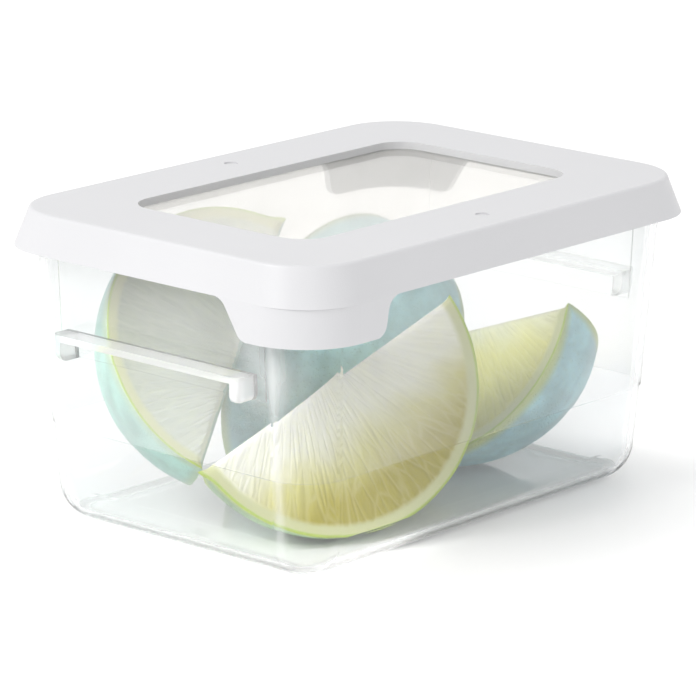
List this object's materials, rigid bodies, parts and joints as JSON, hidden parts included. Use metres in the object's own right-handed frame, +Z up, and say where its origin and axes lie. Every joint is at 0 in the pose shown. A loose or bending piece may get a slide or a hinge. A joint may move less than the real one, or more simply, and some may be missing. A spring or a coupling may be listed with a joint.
{
  "type": "food storage container",
  "caption": "Small clear rectangular food storage container with a white snap lid, a clear window in the lid and cut green citrus inside.",
  "frame": {"origin": "middle of the box's footprint, on the surface it stands on", "axes": "+X along the long side, +Y along the short side, +Z up through the lid"},
  "size_m": [0.145, 0.1014, 0.0763],
  "materials": {
    "tub_plastic": "clear, smooth and glossy",
    "lid_plastic": "white, fine satin",
    "pane_plastic": "clear with a faint warm tint",
    "citrus": "glossy green rind over pale pith and yellow-green flesh"
  },
  "bodies": {
    "root": {"tub": "tub_plastic", "lid_frame": "lid_plastic", "lid_pane": "pane_plastic", "wedge_front": "citrus", "wedge_left": "citrus", "wedge_right": "citrus", "wedge_rear": "citrus"}
  },
  "joints": []
}
